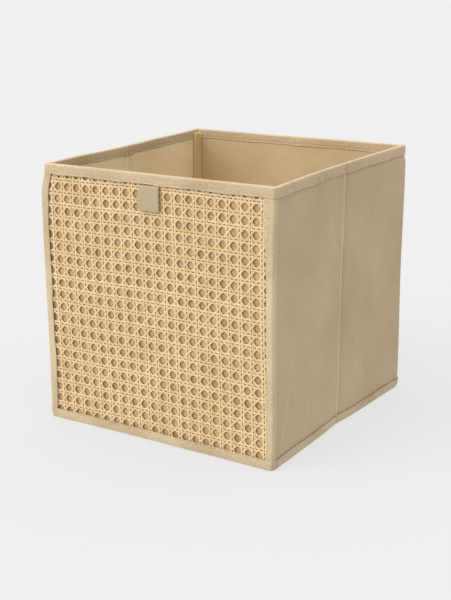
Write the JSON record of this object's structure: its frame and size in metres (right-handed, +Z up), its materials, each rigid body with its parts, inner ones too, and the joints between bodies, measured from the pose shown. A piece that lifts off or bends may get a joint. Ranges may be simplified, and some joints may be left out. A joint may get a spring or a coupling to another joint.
{
  "type": "fabric storage bin",
  "caption": "Cube-shaped folding fabric storage bin with a cane webbing front, taped edges, a ribbon pull, creased side walls and a loose base board.",
  "frame": {"origin": "middle of the base, on the surface that the bin stands on", "axes": "+Z up, -Y out of the cane-faced front, +X to the right seen from the front"},
  "size_m": [0.3082, 0.3109, 0.308],
  "materials": {
    "non_woven_fabric": "matt spunbonded non-woven, beige",
    "lining_fabric": "matt spunbonded non-woven, warm beige",
    "binding_tape": "matt folded binding tape, beige",
    "ribbon": "flat woven ribbon, beige",
    "cane_webbing": "natural woven cane, satin",
    "greyboard": "plain grey board, hidden inside the walls"
  },
  "bodies": {
    "root": {"rear_outer_fabric": "non_woven_fabric", "rear_board": "greyboard", "rear_lining": "lining_fabric", "rear_rim_binding": "binding_tape", "rear_hem_binding": "binding_tape", "rear_right_corner_strip": "binding_tape", "rear_left_corner_strip": "binding_tape", "floor_sheet": "non_woven_fabric"},
    "right_rear_half": {"right_rear_outer_fabric": "non_woven_fabric", "right_rear_board": "greyboard", "right_rear_lining": "lining_fabric", "right_rear_rim_binding": "binding_tape", "right_rear_hem_binding": "binding_tape", "right_crease_channel": "non_woven_fabric"},
    "right_front_half": {"right_front_outer_fabric": "non_woven_fabric", "right_front_board": "greyboard", "right_front_lining": "lining_fabric", "right_front_rim_binding": "binding_tape", "right_front_hem_binding": "binding_tape"},
    "left_rear_half": {"left_rear_outer_fabric": "non_woven_fabric", "left_rear_board": "greyboard", "left_rear_lining": "lining_fabric", "left_rear_rim_binding": "binding_tape", "left_rear_hem_binding": "binding_tape", "left_crease_channel": "non_woven_fabric"},
    "left_front_half": {"left_front_outer_fabric": "non_woven_fabric", "left_front_board": "greyboard", "left_front_lining": "lining_fabric", "left_front_rim_binding": "binding_tape", "left_front_hem_binding": "binding_tape"},
    "front_wall": {"front_cane_webbing": "cane_webbing", "front_outer_fabric": "non_woven_fabric", "front_board": "greyboard", "front_lining": "lining_fabric", "front_rim_binding": "binding_tape", "front_hem_binding": "binding_tape", "front_right_edge_binding": "binding_tape", "front_left_edge_binding": "binding_tape"},
    "insert": {"insert_base_fabric": "lining_fabric", "insert_board": "greyboard", "insert_cover": "lining_fabric"},
    "pull": {"pull_ribbon": "ribbon"}
  },
  "joints": [
    {"name": "fold", "type": "hinge", "parent": "root", "child": "right_rear_half", "pos_m": [0.147, 0.1409, 0], "axis": [0, 0, -1], "range_deg": [0, 89.5], "deforming": ["floor_sheet", "rear_hem_binding", "right_rear_hem_binding", "right_front_hem_binding", "left_rear_hem_binding", "left_front_hem_binding", "front_hem_binding"]},
    {"name": "right_crease", "type": "hinge", "parent": "right_rear_half", "child": "right_front_half", "pos_m": [0.15485, -0.0012, 0], "axis": [0, 0, 1], "range_deg": [0, 180]},
    {"name": "front_corner", "type": "hinge", "parent": "right_front_half", "child": "front_wall", "pos_m": [0.147, -0.1433, 0], "axis": [0, 0, -1], "range_deg": [0, 90]},
    {"name": "left_corner", "type": "hinge", "parent": "root", "child": "left_rear_half", "pos_m": [-0.147, 0.1409, 0], "axis": [0, 0, 1], "range_deg": [0, 90]},
    {"name": "left_crease", "type": "hinge", "parent": "left_rear_half", "child": "left_front_half", "pos_m": [-0.15485, -0.0012, 0], "axis": [0, 0, -1], "range_deg": [0, 180]},
    {"name": "insert_tilt", "type": "hinge", "parent": "root", "child": "insert", "pos_m": [0, 0.1486, 0.0047], "axis": [-1, 0, 0], "range_deg": [0, 90]},
    {"name": "pull_lift", "type": "hinge", "parent": "front_wall", "child": "pull", "pos_m": [-0.003, -0.1561, 0.2962], "axis": [-1, 0, 0], "range_deg": [0, 150]}
  ],
  "couplings": [
    {"joint": "right_crease", "follows": "fold", "ratio": 2},
    {"joint": "front_corner", "follows": "fold", "ratio": 1},
    {"joint": "left_corner", "follows": "fold", "ratio": 1},
    {"joint": "left_crease", "follows": "fold", "ratio": 2}
  ]
}
